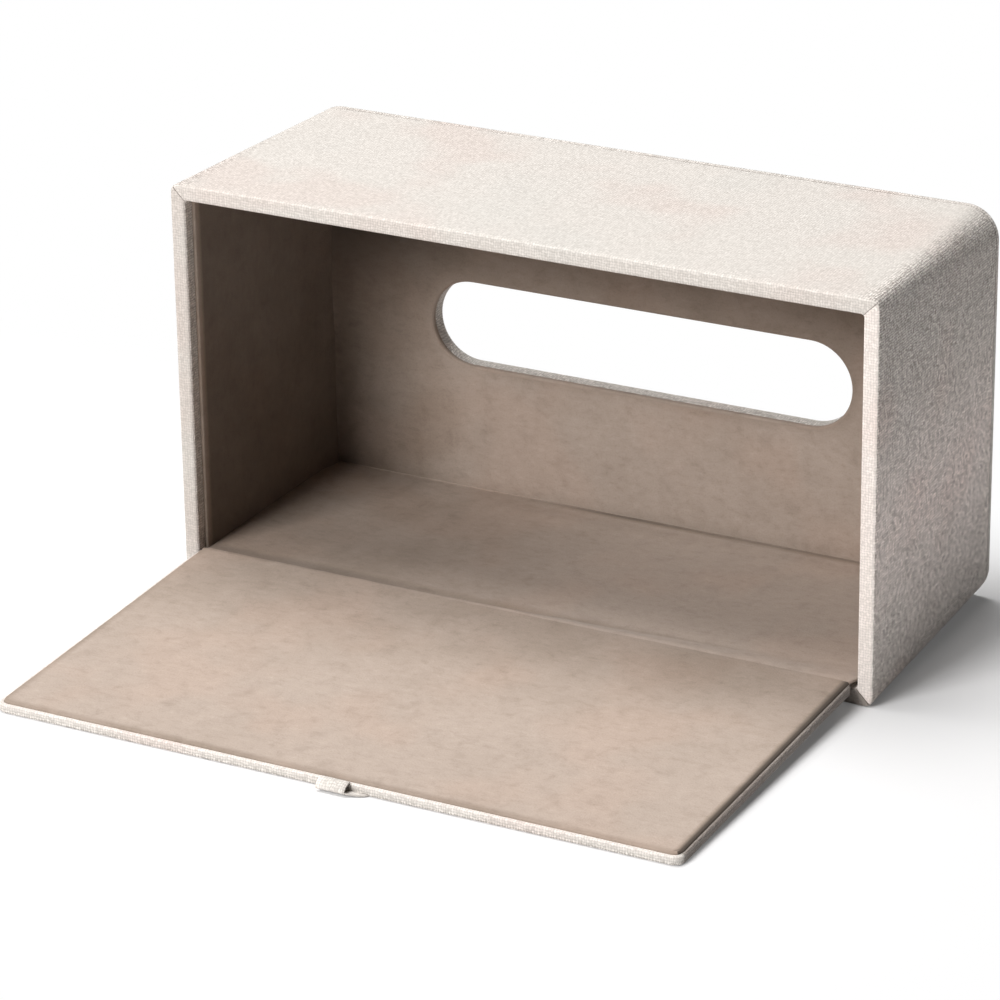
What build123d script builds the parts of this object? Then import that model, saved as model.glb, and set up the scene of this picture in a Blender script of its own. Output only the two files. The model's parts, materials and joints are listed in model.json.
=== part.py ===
from build123d import *
import math
import os

# Tissue box of linen-wrapped board, lying on its long side wall with its mouth to the front (-Y)
# and its base flap let down in front of it. +X runs along the length, +Z is up.
# The origin is the middle of the face that the box rests on. All sizes are millimetres.

# Box
box_length = 250.0            # left to right
box_depth = 95.0              # rim of the mouth to the face of the slot panel
box_width = 135.0             # table to the upper long side, as the box lies
wall_board = 4.5              # greyboard of the four walls
panel_board = 4.5             # greyboard of the slot panel
linen = 0.45                  # glued linen cloth
mouth_corner_radius = 3.0     # long edges of the box at the mouth
panel_corner_radius = 11.0    # the same edges at the slot panel
rim_edge_radius = 1.0         # both edges of the rim
panel_edge_radius = 1.2       # edge between slot panel and walls
mouth_inner_radius = 1.2      # corners of the opening
wrap_reveal = 2.8             # strip of the slot panel's own linen left showing on the walls

# Lining
lining_card = 1.05            # thin card behind the suede
suede = 0.45                  # microsuede cloth
rebate_depth = 4.2            # the lining stops this far inside the rim

# Slot
slot_length = 155.0
slot_height = 30.0
slot_drop = 1.0               # the slot lies this far below the panel's middle
slot_lining_margin = 0.5      # the lining's hole is this much larger all round

# Flap
flap_board_thickness = 2.0
flap_card_thickness = 0.7
flap_side_gap = 0.8           # flap edge to the opening's sides and top
flap_hinge_gap = 0.6          # flap edge to the rim under it, closed
flap_seat_gap = 0.3           # flap lining to the edges of the box lining, closed
flap_corner_radius = 4.0
flap_edge_radius = 0.4        # outer edge of the flap
flap_border = 1.0             # linen left showing round the flap's lining
hinge_slack = 0.4             # flap edge to the rim in front of it, open
hinge_lift = 1.8              # let down, the flap's lining lies this far above the floor's
hinge_joint_gap = 0.05        # the hinge cloth meets its neighbours this close

# Pull loop on the flap's free edge
loop_width = 10.0
loop_offset = 3.5             # middle of the loop to the right of the flap's middle
loop_tape = 0.5
loop_reach = 4.0              # how far the loop stands out from the edge
loop_inset = 0.3              # below the flap's lining and above its outer face

# Magnet catch, two pairs
magnet_spacing = 150.0
magnet_length = 12.0
magnet_thickness = 1.8        # across the board that it sits in
magnet_width = 2.7
magnet_clearance = 0.1        # round a magnet in its pocket
magnet_depth = 0.3            # a magnet lies this far below the board's surface

# Worked out from the sizes above
mouth_y = -box_depth / 2
panel_y = box_depth / 2
half_length = box_length / 2
middle_z = box_width / 2
wall_inner = linen + wall_board                  # outside face to the board's inner face
rim_width = wall_inner + linen                   # the rim with its cloth on both sides
lining = lining_card + suede
lining_inner = wall_inner + lining
panel_inner_y = panel_y - linen - panel_board
lining_front_y = mouth_y + rebate_depth
lining_back_y = panel_inner_y - lining
wrap_end_y = panel_y - wrap_reveal
past = 1.0                                       # how far a cutting solid runs past what it cuts

os.makedirs("parts", exist_ok=True)


def block(x_from, x_to, y_from, y_to, z_from, z_to):
    centre = ((x_from + x_to) / 2, (y_from + y_to) / 2, (z_from + z_to) / 2)
    return Pos(*centre) * Box(x_to - x_from, y_to - y_from, z_to - z_from)


def upright(y):
    """Plane across the box, at a distance along its depth."""
    return Plane(origin=(0, y, middle_z), x_dir=(1, 0, 0), z_dir=(0, 1, 0))


def corner_radius(y):
    share = (y - mouth_y) / box_depth
    return mouth_corner_radius + (panel_corner_radius - mouth_corner_radius) * share


def corner_waste(inset, y_from, y_to, side, rise):
    """What is cut off one long edge: a cone-like hollow whose radius grows with the depth."""
    half_width = half_length - inset
    half_height = box_width / 2 - inset
    faces = []
    for y in (y_from, y_to):
        radius = corner_radius(y) - inset
        x_tangent = side * (half_width - radius)
        z_tangent = middle_z + rise * (half_height - radius)
        x_side = side * half_width
        z_side = middle_z + rise * half_height
        bend = radius * math.sqrt(0.5)
        on_side = (x_side, y, z_tangent)
        on_top = (x_tangent, y, z_side)
        arc = ThreePointArc(on_side, (x_tangent + side * bend, y, z_tangent + rise * bend), on_top)
        outside = Polyline(on_top,
                           (x_tangent, y, z_side + rise * past),
                           (x_side + side * past, y, z_side + rise * past),
                           (x_side + side * past, y, z_tangent),
                           on_side)
        faces.append(make_face(arc + outside))
    return loft(faces, ruled=True)


def envelope(inset, y_from, y_to):
    """Outer form of the box, set in by a thickness: its corners open out towards the slot panel."""
    form = block(-half_length + inset, half_length - inset, y_from, y_to, inset, box_width - inset)
    for side in (-1, 1):
        for rise in (-1, 1):
            form -= corner_waste(inset, y_from, y_to, side, rise)
    return form


def opening(inset, y_from, y_to, radius=0.0):
    """Straight hollow through the box, set in from its outside by a thickness."""
    width = box_length - 2 * inset
    height = box_width - 2 * inset
    outline = RectangleRounded(width, height, radius) if radius > 0 else Rectangle(width, height)
    return extrude(upright(y_from) * outline, y_to - y_from)


def slot(margin, y_from, y_to):
    outline = SlotOverall(slot_length + 2 * margin, slot_height + 2 * margin)
    return Pos(0, 0, -slot_drop) * extrude(upright(y_from) * outline, y_to - y_from)


def rounded_front(solid, radius):
    return fillet(solid.faces().sort_by(Axis.Y)[0].edges(), radius)


def rounded_back(solid, radius):
    return fillet(solid.faces().sort_by(Axis.Y)[-1].edges(), radius)


def save(name, shape, colour):
    shape.label = name
    shape.color = Color(*colour)
    export_step(shape, f"parts/{name}.step")


board_colour = (0.62, 0.55, 0.44)
linen_colour = (0.86, 0.82, 0.76)
suede_colour = (0.62, 0.54, 0.47)
steel_colour = (0.75, 0.75, 0.77)

# --- Boards of the box -------------------------------------------------------------------------
board_ring = envelope(linen, mouth_y + linen, panel_inner_y)
board_ring -= opening(wall_inner, mouth_y - past, panel_y + past)
board_ring = rounded_front(board_ring, rim_edge_radius - linen)
lower_z = wall_inner
upper_z = box_width - wall_inner
side_x = half_length - wall_inner
span = half_length + past

magnet_places = (-magnet_spacing / 2, magnet_spacing / 2)
rim_magnet_y = (mouth_y + linen + lining_front_y) / 2
rim_magnet_z = upper_z + magnet_depth


def bar_magnet(x, y, z, size_y, size_z, clearance=0.0):
    """Bar magnet, or its pocket, centred on x and y and standing on z."""
    return block(x - magnet_length / 2 - clearance, x + magnet_length / 2 + clearance,
                 y - size_y / 2 - clearance, y + size_y / 2 + clearance,
                 z - clearance, z + size_z + clearance)


def rim_magnet(x, clearance=0.0):
    return bar_magnet(x, rim_magnet_y, rim_magnet_z, magnet_width, magnet_thickness, clearance)


top_wall_board = board_ring & block(-span, span, mouth_y, panel_y, upper_z, box_width)
for x in magnet_places:
    pocket = rim_magnet(x, magnet_clearance)
    top_wall_board -= pocket + Pos(0, 0, -magnet_depth) * pocket
bottom_wall_board = board_ring & block(-span, span, mouth_y, panel_y, 0, lower_z)
left_end_board = board_ring & block(-span, -side_x, mouth_y, panel_y, lower_z, upper_z)
right_end_board = board_ring & block(side_x, span, mouth_y, panel_y, lower_z, upper_z)
panel_form = envelope(linen, panel_inner_y, panel_y - linen)
slot_panel_board = rounded_back(panel_form, panel_edge_radius - linen)
slot_panel_board -= slot(linen, panel_inner_y - past, panel_y + past)

save("top_wall_board", top_wall_board, board_colour)
save("bottom_wall_board", bottom_wall_board, board_colour)
save("left_end_board", left_end_board, board_colour)
save("right_end_board", right_end_board, board_colour)
save("slot_panel_board", slot_panel_board, board_colour)

# --- Linen of the box ----------------------------------------------------------------------------
# The wrap covers the walls, turns over the rim and runs in to the edge of the lining.
wrap = envelope(0, mouth_y, wrap_end_y)
wrap -= opening(rim_width, mouth_y - past, lining_front_y, mouth_inner_radius)
wrap -= opening(wall_inner, lining_front_y, panel_y + past)
wrap = rounded_front(wrap, rim_edge_radius)
wrap -= board_ring
wrap -= envelope(linen, panel_inner_y, panel_y)
seam_z = rim_width
wrap_linen = wrap & block(-span, span, mouth_y - past, panel_y, seam_z, box_width + past)
base_linen = wrap & block(-span, span, mouth_y - past, panel_y, -past, seam_z)

slot_panel_linen = rounded_back(envelope(0, wrap_end_y, panel_y), panel_edge_radius)
panel_core = rounded_back(envelope(linen, wrap_end_y - past, panel_y - linen), panel_edge_radius - linen)
slot_panel_linen -= panel_core
slot_sleeve = slot(linen, panel_inner_y, panel_y)
slot_panel_linen = slot_panel_linen + slot_sleeve
slot_panel_linen -= slot(0, panel_inner_y - past, panel_y + past)

save("wrap_linen", wrap_linen, linen_colour)
save("base_linen", base_linen, linen_colour)
save("slot_panel_linen", slot_panel_linen, linen_colour)

# --- Lining of the box ---------------------------------------------------------------------------
# Each panel is a card with suede over its face and round its front edge.


def lining_panel(name, x_from, x_to, z_from, z_to, face):
    """Card and suede for one side. face is the box that the suede's own layer fills."""
    whole = block(x_from, x_to, lining_front_y, lining_back_y, z_from, z_to)
    card = whole - face - block(-span, span, lining_front_y - past, lining_front_y + suede,
                                -past, box_width + past)
    save(f"{name}_card", card, board_colour)
    save(f"{name}_suede", whole - card, suede_colour)


inner_x = half_length - lining_inner
inner_low = lining_inner
inner_high = box_width - lining_inner
card_low = wall_inner + lining_card
card_high = box_width - card_low
card_x = half_length - card_low

lining_panel("floor", -side_x, side_x, lower_z, inner_low,
             block(-span, span, mouth_y, panel_y, card_low, inner_low + past))
lining_panel("ceiling", -side_x, side_x, inner_high, upper_z,
             block(-span, span, mouth_y, panel_y, inner_high - past, card_high))
lining_panel("left", -side_x, -inner_x, inner_low, inner_high,
             block(-card_x, -inner_x + past, mouth_y, panel_y, 0, box_width))
lining_panel("right", inner_x, side_x, inner_low, inner_high,
             block(inner_x - past, card_x, mouth_y, panel_y, 0, box_width))

back_hole = slot(slot_lining_margin, lining_back_y - past, panel_y)
back_card = opening(wall_inner, panel_inner_y - lining_card, panel_inner_y) - back_hole
back_suede = opening(wall_inner, lining_back_y, panel_inner_y - lining_card) - back_hole
save("back_card", back_card, board_colour)
save("back_suede", back_suede, suede_colour)

# --- Magnets in the rim --------------------------------------------------------------------------
rim_magnets = Compound(children=[rim_magnet(x) for x in magnet_places])
save("rim_magnets", rim_magnets, steel_colour)

# --- Flap, built shut and then let down ------------------------------------------------------------
flap_thickness = linen + flap_board_thickness + flap_card_thickness + suede
flap_inner_y = lining_front_y - flap_seat_gap
flap_outer_y = flap_inner_y - flap_thickness
flap_low_z = rim_width + flap_hinge_gap
flap_high_z = box_width - rim_width - flap_side_gap
flap_half = half_length - rim_width - flap_side_gap
flap_middle_z = (flap_low_z + flap_high_z) / 2
flap_board_y = flap_outer_y + linen
flap_board_inner_y = flap_board_y + flap_board_thickness
flap_card_y = flap_board_inner_y + flap_card_thickness

# The cloth hinge turns about this line: shut, the flap seats in the rebate; let down, its lining
# lies just above the floor's and its edge clears the rim.
level = lining_inner + hinge_lift - (flap_inner_y - mouth_y)
reach = flap_low_z - hinge_slack
hinge_z = (reach + level) / 2
hinge_y = mouth_y + (reach - level) / 2
free_edge_y = flap_outer_y - hinge_y
free_edge_z = flap_high_z - hinge_z
free_edge_radius = math.hypot(free_edge_y, free_edge_z)
open_angle = math.degrees(math.atan2(free_edge_y, free_edge_z)
                          + math.acos(-hinge_z / free_edge_radius))


def let_down(shape):
    hinge_axis = Axis((0, hinge_y, hinge_z), (1, 0, 0))
    return shape.rotate(hinge_axis, open_angle)


def flap_plate(inset, y_from, y_to):
    outline = RectangleRounded(2 * (flap_half - inset), flap_high_z - flap_low_z - 2 * inset,
                               flap_corner_radius - inset)
    plane = Plane(origin=(0, y_from, flap_middle_z), x_dir=(1, 0, 0), z_dir=(0, 1, 0))
    return extrude(plane * outline, y_to - y_from)


flap_magnet_y = (flap_board_y + flap_board_inner_y) / 2
flap_magnet_z = flap_high_z - linen - magnet_depth - magnet_width


def flap_magnet(x, clearance=0.0):
    return bar_magnet(x, flap_magnet_y, flap_magnet_z, magnet_thickness, magnet_width, clearance)


flap_board = flap_plate(linen, flap_board_y, flap_board_inner_y)
for x in magnet_places:
    pocket = flap_magnet(x, magnet_clearance)
    flap_board -= pocket + Pos(0, 0, magnet_depth) * pocket
flap_magnets = Compound(children=[let_down(flap_magnet(x)) for x in magnet_places])

flap_linen = rounded_front(flap_plate(0, flap_outer_y, flap_board_inner_y + linen), flap_edge_radius)
flap_linen -= flap_plate(linen, flap_board_y, flap_board_inner_y)
flap_linen -= flap_plate(flap_border, flap_board_inner_y, flap_inner_y)
flap_cover = flap_plate(flap_border, flap_board_inner_y, flap_inner_y)
flap_card = flap_plate(flap_border + suede, flap_board_inner_y, flap_card_y)
flap_suede = flap_cover - flap_card

save("flap_board", let_down(flap_board), board_colour)
save("flap_linen", let_down(flap_linen), linen_colour)
save("flap_card", let_down(flap_card), board_colour)
save("flap_suede", let_down(flap_suede), suede_colour)
save("flap_magnets", flap_magnets, steel_colour)

# --- Pull loop -----------------------------------------------------------------------------------
loop_outer_y = flap_outer_y + loop_inset
loop_inner_y = flap_board_inner_y + linen
loop_middle_y = (loop_outer_y + loop_inner_y) / 2
loop_half = (loop_inner_y - loop_outer_y) / 2


def loop_face(inset):
    """Half oval of the loop on the flap's free edge, seen along the length."""
    left_x = loop_offset - loop_width / 2
    plane = Plane(origin=(left_x, loop_middle_y, flap_high_z), x_dir=(0, 1, 0), z_dir=(1, 0, 0))
    oval = plane * Ellipse(loop_half - inset, loop_reach - inset)
    return extrude(oval, loop_width)


pull_loop = loop_face(0) - loop_face(loop_tape)
pull_loop &= block(loop_offset - loop_width, loop_offset + loop_width,
                   mouth_y - box_depth, panel_y, flap_high_z, 2 * box_width)
save("pull_loop", let_down(pull_loop), linen_colour)

# --- Hinge cloth ---------------------------------------------------------------------------------
# Strip of suede from the floor's lining up over the rim to the flap's lining.
def opened(y, z):
    """Depth and height that a point of the shut flap has when it is let down."""
    turn = math.radians(open_angle)
    return (hinge_y + (y - hinge_y) * math.cos(turn) - (z - hinge_z) * math.sin(turn),
            hinge_z + (y - hinge_y) * math.sin(turn) + (z - hinge_z) * math.cos(turn))


cloth_end_z = flap_low_z + flap_border - hinge_joint_gap
cloth_bend_z = flap_low_z - hinge_slack
hinge_outline = Polyline((lining_front_y, inner_low - suede), (lining_front_y, inner_low),
                         opened(flap_inner_y, cloth_bend_z), opened(flap_inner_y, cloth_end_z),
                         opened(flap_card_y, cloth_end_z), opened(flap_card_y, cloth_bend_z),
                         (lining_front_y, inner_low - suede))
hinge_half = flap_half - flap_border
hinge_plane = Plane(origin=(-hinge_half, 0, 0), x_dir=(0, 1, 0), z_dir=(1, 0, 0))
hinge_cloth = extrude(hinge_plane * make_face(hinge_outline), 2 * hinge_half)
save("hinge_cloth", hinge_cloth, suede_colour)

print(f"hinge line y {hinge_y:.3f} z {hinge_z:.3f}, opens {open_angle:.3f} degrees")
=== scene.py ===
import json
import math
import bmesh
import bpy
import numpy as np
from mathutils import Matrix, Vector, noise


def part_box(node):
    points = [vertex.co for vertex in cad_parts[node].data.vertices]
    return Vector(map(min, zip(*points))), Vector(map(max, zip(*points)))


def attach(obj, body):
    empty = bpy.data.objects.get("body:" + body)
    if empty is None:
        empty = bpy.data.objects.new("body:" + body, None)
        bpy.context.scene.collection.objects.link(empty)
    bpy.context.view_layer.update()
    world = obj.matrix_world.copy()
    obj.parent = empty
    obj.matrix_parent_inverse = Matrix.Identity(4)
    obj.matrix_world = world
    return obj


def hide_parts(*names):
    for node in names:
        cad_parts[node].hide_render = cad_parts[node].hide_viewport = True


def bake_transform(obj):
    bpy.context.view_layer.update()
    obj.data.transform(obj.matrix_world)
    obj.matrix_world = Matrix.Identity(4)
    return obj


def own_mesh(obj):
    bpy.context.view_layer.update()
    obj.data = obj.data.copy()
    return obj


mm = 0.001

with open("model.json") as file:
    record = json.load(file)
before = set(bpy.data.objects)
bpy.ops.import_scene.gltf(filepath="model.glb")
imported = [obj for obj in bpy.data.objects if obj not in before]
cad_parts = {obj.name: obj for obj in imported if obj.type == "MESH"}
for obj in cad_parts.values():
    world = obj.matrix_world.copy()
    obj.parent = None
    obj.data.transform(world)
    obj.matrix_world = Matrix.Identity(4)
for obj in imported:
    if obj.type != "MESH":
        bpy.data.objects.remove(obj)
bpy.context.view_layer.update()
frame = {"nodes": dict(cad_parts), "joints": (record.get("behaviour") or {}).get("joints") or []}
print("frame loaded:", len(frame["nodes"]), "pieces")

# sizes, read off the frame where it has them
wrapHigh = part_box("wrap_linen")[1]
halfLength = wrapHigh.x
boxHeight = wrapHigh.z
middleZ = boxHeight / 2
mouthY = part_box("wrap_linen")[0].y
seamY = wrapHigh.y                                  # where the wrap ends and the slot panel's cloth starts
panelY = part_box("slot_panel_linen")[1].y
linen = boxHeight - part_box("top_wall_board")[1].z    # thickness of the cloth
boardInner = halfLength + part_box("left_card")[0].x
rimWidth = boardInner + linen
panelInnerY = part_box("back_card")[1].y
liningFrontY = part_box("left_suede")[0].y
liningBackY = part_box("back_suede")[0].y
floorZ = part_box("floor_suede")[1].z
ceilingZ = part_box("ceiling_suede")[0].z
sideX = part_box("right_suede")[0].x
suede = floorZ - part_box("floor_card")[1].z
liningThick = floorZ - boardInner

hinge = frame["joints"][0]
hingeY, hingeZ = hinge["pos_m"][1], hinge["pos_m"][2]
openAngle = math.radians(hinge["range_deg"][1])


def smooth(x):
    x = np.clip(x, 0, 1)
    return x * x * (3 - 2 * x)


def unevenness(points, size, seed=0.0):
    # slow noise from -1 to 1 at each point
    shift = Vector((seed, 2 * seed, 3 * seed))
    values = [noise.noise(Vector(p) / size + shift) for p in points.reshape(-1, 3)]
    return np.array(values).reshape(points.shape[:-1])


def fade(value, start, length):
    # from 0 at the start to 1 past a length
    return smooth((value - start) / length)


def spaced(start, end, step):
    return np.linspace(start, end, max(2, int(round(abs(end - start) / step)) + 1))


class Wire:
    def __init__(self, finish, socket):
        self.finish = finish
        self.socket = socket

    def maths(self, operation, *others):
        return self.finish.node("ShaderNodeMath", {"operation": operation}, [self, *others])

    def turned(self, operation, other):
        return self.finish.node("ShaderNodeMath", {"operation": operation}, [other, self])

    def __add__(self, other):
        return self.maths("ADD", other)

    def __sub__(self, other):
        return self.maths("SUBTRACT", other)

    def __mul__(self, other):
        return self.maths("MULTIPLY", other)

    def __truediv__(self, other):
        return self.maths("DIVIDE", other)

    def __pow__(self, other):
        return self.maths("POWER", other)

    def __radd__(self, other):
        return self.maths("ADD", other)

    def __rmul__(self, other):
        return self.maths("MULTIPLY", other)

    def __rsub__(self, other):
        return self.turned("SUBTRACT", other)

    def __rtruediv__(self, other):
        return self.turned("DIVIDE", other)

    def part(self, name):
        return Wire(self.finish, self.socket.node.outputs[name])

    def limited(self):
        return self.finish.node("ShaderNodeClamp", {}, {"Value": self})

    def between(self, low, high):
        values = {"Value": self, "From Min": low, "From Max": high}
        return self.finish.node("ShaderNodeMapRange", {"interpolation_type": "SMOOTHSTEP"}, values)


class Finish:
    def __init__(self, name):
        self.material = bpy.data.materials.new(name)
        self.material.use_nodes = True
        self.tree = self.material.node_tree
        self.shader = self.tree.nodes["Principled BSDF"]
        self.output = self.tree.nodes["Material Output"]

    def fill(self, socket, value):
        if isinstance(value, Wire):
            self.tree.links.new(value.socket, socket)
        else:
            socket.default_value = value

    def node(self, kind, settings=None, inputs=(), output=0):
        made = self.tree.nodes.new(kind)
        for key, value in (settings or {}).items():
            setattr(made, key, value)
        pairs = inputs.items() if isinstance(inputs, dict) else enumerate(inputs)
        for key, value in pairs:
            self.fill(made.inputs[key], value)
        return Wire(self, made.outputs[output])

    def mix(self, factor, first, second, kind="MIX"):
        settings = {"data_type": "RGBA", "blend_type": kind}
        return self.node("ShaderNodeMix", settings, {0: factor, 6: first, 7: second}, output=2)

    def vector(self, x, y, z=0.0):
        return self.node("ShaderNodeCombineXYZ", {}, [x, y, z])

    def cloud(self, vector, scale, detail=2.0, roughness=0.5, distortion=0.0):
        values = {"Vector": vector, "Scale": scale, "Detail": detail, "Roughness": roughness,
                  "Distortion": distortion}
        return self.node("ShaderNodeTexNoise", {}, values)

    def bump(self, height, depth, strength=1.0):
        return self.node("ShaderNodeBump", {}, {"Height": height, "Distance": depth, "Strength": strength})

    def surface(self, **values):
        for name, value in values.items():
            self.fill(self.shader.inputs[name.replace("_", " ")], value)


linenLook = {
    "pitch": 0.90 * mm,          # one yarn
    "even": (0.530, 0.498, 0.460, 1),
    "pale": (0.86, 0.80, 0.745, 1),
    "dark": (0.40, 0.358, 0.322, 1),
    # gap: the dark between the yarns, also used as painted shade
    "gap": (0.13, 0.105, 0.088, 1),
    # light: painted light
    "light": (1.52, 1.45, 1.47, 1),
    "blush": (0.988, 0.940, 0.932, 1),
    "cool": (0.980, 0.990, 0.992, 1),
    "relief": 0.30 * mm,
    "reliefStrength": 0.9,
    "wanderScale": 420.0,
    "wander": 1.5,               # yarn widths that a yarn strays
    "along": 0.6,                # how quickly a yarn's tone changes along it
    "thickness": 0.6,            # how much its thickness varies
    "slubScale": 620.0,
    "fluffScale": 5200.0,
    "patchScale": 19.0,
    "leastShown": 0.22,          # of the weave, where the light falls flat on the cloth
}


def linenFinish(name, look):
    cloth = Finish(name)
    flat = cloth.node("ShaderNodeUVMap", {"uv_map": "weave"})
    place = cloth.node("ShaderNodeSeparateXYZ", {}, [flat])
    along, across = place, place.part("Y")
    warpWander = cloth.cloud(flat, look["wanderScale"], 3.0)
    weftWander = cloth.cloud(cloth.vector(across, along, 0.37), look["wanderScale"], 3.0)
    warpPlace = along / look["pitch"] + (warpWander - 0.5) * look["wander"]
    weftPlace = across / look["pitch"] + (weftWander - 0.5) * look["wander"]
    warpNumber, weftNumber = warpPlace.maths("FLOOR"), weftPlace.maths("FLOOR")
    # each yarn has its own tone, which changes along it as it thins and swells
    warpTone = cloth.cloud(cloth.vector(warpNumber * 7.31, weftPlace * look["along"]), 1.0, 3.0, 0.7)
    weftTone = cloth.cloud(cloth.vector(warpPlace * look["along"], weftNumber * 5.17, 3.1), 1.0, 3.0, 0.7)
    warpWave, weftWave = (warpPlace * math.pi).maths("SINE"), (weftPlace * math.pi).maths("SINE")
    warpHeight = warpWave.maths("ABSOLUTE") * 0.6 + warpWave.maths("SIGN") * weftWave * 0.4
    weftHeight = weftWave.maths("ABSOLUTE") * 0.6 - weftWave.maths("SIGN") * warpWave * 0.4
    warpHeight = warpHeight + (warpTone - 0.5) * look["thickness"]
    weftHeight = weftHeight + (weftTone - 0.5) * look["thickness"]
    height = warpHeight.maths("MAXIMUM", weftHeight)
    warpOnTop = (warpHeight - weftHeight).between(-0.08, 0.08)
    tone = warpTone * warpOnTop + weftTone * (1 - warpOnTop)
    slub = cloth.cloud(flat, look["slubScale"], 2.0, 0.7)
    fluff = cloth.cloud(flat, look["fluffScale"], 3.0, 0.7)
    colour = cloth.mix(tone.between(0.34, 0.58), look["dark"], look["pale"])
    colour = cloth.mix(0.5 * slub.between(0.47, 0.62), colour, look["dark"])
    colour = cloth.mix(0.75 * height.between(0.85, 0.35), colour, look["gap"])
    # painted weave shading: the yarns' colour contrast shows strongly where light grazes the cloth and
    # little where it falls flat
    coarse = cloth.node("ShaderNodeAttribute", {"attribute_name": "coarse"}, output="Fac")
    shown = look["leastShown"] + (1 - look["leastShown"]) * coarse.limited()
    colour = cloth.mix(shown, look["even"], colour)
    # faint pink and cool areas, as the dye took
    patches = cloth.cloud(flat, look["patchScale"], 2.0, 0.5)
    colour = cloth.mix(patches.between(0.50, 0.66), colour, look["blush"], "MULTIPLY")
    colour = cloth.mix(patches.between(0.46, 0.32), colour, look["cool"], "MULTIPLY")
    worn = cloth.node("ShaderNodeAttribute", {"attribute_name": "worn"}, output="Fac")
    # painted shade where the painted light and shade value is below zero, painted light where it is above
    # zero
    colour = cloth.mix((worn * -1).limited(), colour, look["gap"])
    colour = cloth.mix(worn.limited() * 0.8, colour, look["light"], "MULTIPLY")
    relief = (height + fluff * 0.3) * shown
    normal = cloth.bump(relief, look["relief"], look["reliefStrength"])
    cloth.surface(Base_Color=colour, Roughness=0.92 - 0.1 * height.limited(), Normal=normal,
                  Specular_IOR_Level=0.2, Sheen_Weight=0.1, Sheen_Roughness=0.5)
    return cloth.material


suedeLook = {
    "base": (0.268, 0.212, 0.170, 1),
    "brushed": (0.315, 0.252, 0.207, 1),
    "fleck": (0.70, 0.68, 0.66, 1),
    "lift": (1.22, 1.24, 1.26, 1),
    # light: painted light
    "light": (0.448, 0.368, 0.314, 1),
    "warm": (1.028, 0.994, 0.978, 1),
    # dark: painted shade
    "dark": (0.055, 0.042, 0.033, 1),
    "sheen": (1.0, 0.93, 0.87, 1),
    "napScale": 34.0,            # where a hand has brushed it
    "mottleScale": 150.0,
    "strokeScale": (230.0, 480.0, 1.0),
    "grainScale": 1500.0,
    "warmScale": 21.0,
    "fleckDepth": 0.75,
    "liftDepth": 0.5,
    "relief": 0.16 * mm,
    "reliefStrength": 0.7,
}


def suedeFinish(name, look):
    cloth = Finish(name)
    flat = cloth.node("ShaderNodeUVMap", {"uv_map": "weave"})
    nap = cloth.cloud(flat, look["napScale"], 5.0, 0.62, 0.15)
    mottle = cloth.cloud(flat, look["mottleScale"], 4.0, 0.65, 0.4)
    strokes = cloth.node("ShaderNodeVectorMath", {"operation": "MULTIPLY"}, [flat, look["strokeScale"]])
    stroke = cloth.cloud(strokes, 1.0, 3.0, 0.6, 0.3)
    grain = cloth.cloud(flat, look["grainScale"], 3.0, 0.7)
    worn = cloth.node("ShaderNodeAttribute", {"attribute_name": "worn"}, output="Fac")
    colour = cloth.mix(nap.between(0.34, 0.66), look["base"], look["brushed"])
    # painted light where the painted light and shade value is above zero
    colour = cloth.mix(worn.limited() * 0.8, colour, look["light"])
    flecks = 0.45 * mottle.between(0.48, 0.72) + 0.35 * stroke.between(0.5, 0.72)
    flecks = flecks + 0.45 * grain.between(0.46, 0.70)
    colour = cloth.mix(flecks.limited() * look["fleckDepth"], colour, look["fleck"], "MULTIPLY")
    lifted = 0.5 * stroke.between(0.46, 0.30) + 0.4 * mottle.between(0.42, 0.28)
    colour = cloth.mix(lifted.limited() * look["liftDepth"], colour, look["lift"], "MULTIPLY")
    warmth = cloth.cloud(flat, look["warmScale"], 2.0)
    colour = cloth.mix(warmth.between(0.46, 0.62), colour, look["warm"], "MULTIPLY")
    # painted shade where the painted light and shade value is below zero
    colour = cloth.mix((worn * -1).limited(), colour, look["dark"])
    normal = cloth.bump(grain + 0.5 * mottle, look["relief"], look["reliefStrength"])
    cloth.surface(Base_Color=colour, Roughness=0.95 - 0.1 * nap, Normal=normal,
                  Specular_IOR_Level=0.15, Sheen_Weight=0.12, Sheen_Roughness=0.45,
                  Sheen_Tint=look["sheen"])
    return cloth.material


def boardFinish(name):
    board = Finish(name)
    place = board.node("ShaderNodeTexCoord", output="Object")
    fibres = board.cloud(place, 900.0, 4.0, 0.6)
    layers = board.node("ShaderNodeVectorMath", {"operation": "MULTIPLY"}, [place, (60.0, 900.0, 900.0)])
    ply = board.cloud(layers, 1.0, 2.0)
    colour = board.mix(fibres.between(0.35, 0.65), (0.36, 0.31, 0.25, 1), (0.47, 0.42, 0.35, 1))
    colour = board.mix(0.25 * ply, colour, (0.30, 0.26, 0.22, 1))
    board.surface(Base_Color=colour, Roughness=0.85 + 0.1 * fibres, Normal=board.bump(fibres, 0.1 * mm, 0.5))
    return board.material


def magnetFinish(name):
    metal = Finish(name)
    place = metal.node("ShaderNodeTexCoord", output="Object")
    scuffs = metal.cloud(place, 700.0, 4.0, 0.6)
    colour = metal.mix(scuffs, (0.55, 0.55, 0.57, 1), (0.72, 0.72, 0.74, 1))
    metal.surface(Base_Color=colour, Metallic=1.0, Roughness=0.25 + 0.2 * scuffs)
    return metal.material


linenMaterial = linenFinish("naturalLinen", linenLook)
suedeMaterial = suedeFinish("taupeSuede", suedeLook)
boardMaterial = boardFinish("greyboard")
magnetMaterial = magnetFinish("nickelledMagnet")
print("finishes made")


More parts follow.
